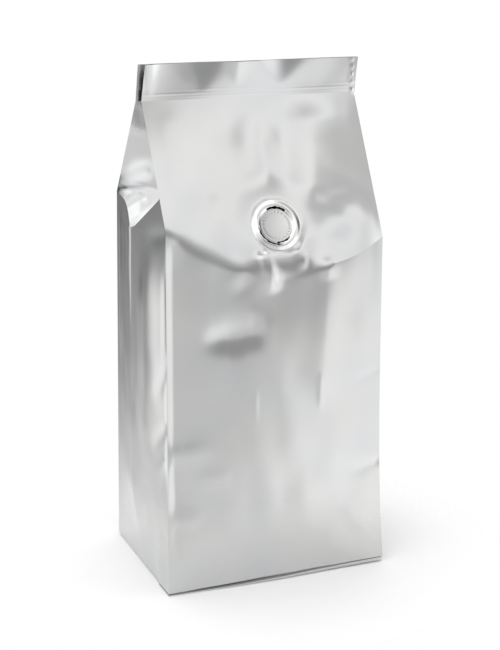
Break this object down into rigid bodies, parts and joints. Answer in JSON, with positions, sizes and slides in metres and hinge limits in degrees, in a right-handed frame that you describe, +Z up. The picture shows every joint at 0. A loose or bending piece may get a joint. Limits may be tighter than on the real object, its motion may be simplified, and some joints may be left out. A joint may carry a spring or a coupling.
{
  "type": "side-gusset coffee bag",
  "caption": "Full silver foil coffee bag standing upright, with folded side gussets, a heat-sealed top with open lips, and a round degassing valve on the leaning front.",
  "frame": {"origin": "centre of the bag's box on the plane that it stands on", "axes": "+Z up from the foot to the lips, -Y out of the broad front with the valve, +X to the right as seen from the front"},
  "size_m": [0.0896, 0.0661, 0.1826],
  "materials": {
    "film": "silver metallised film, satin, soft creases and dents",
    "valve": "silver film pressed over a round plastic valve, satin"
  },
  "bodies": {
    "root": {"bag": "film", "valve": "valve"}
  },
  "joints": []
}
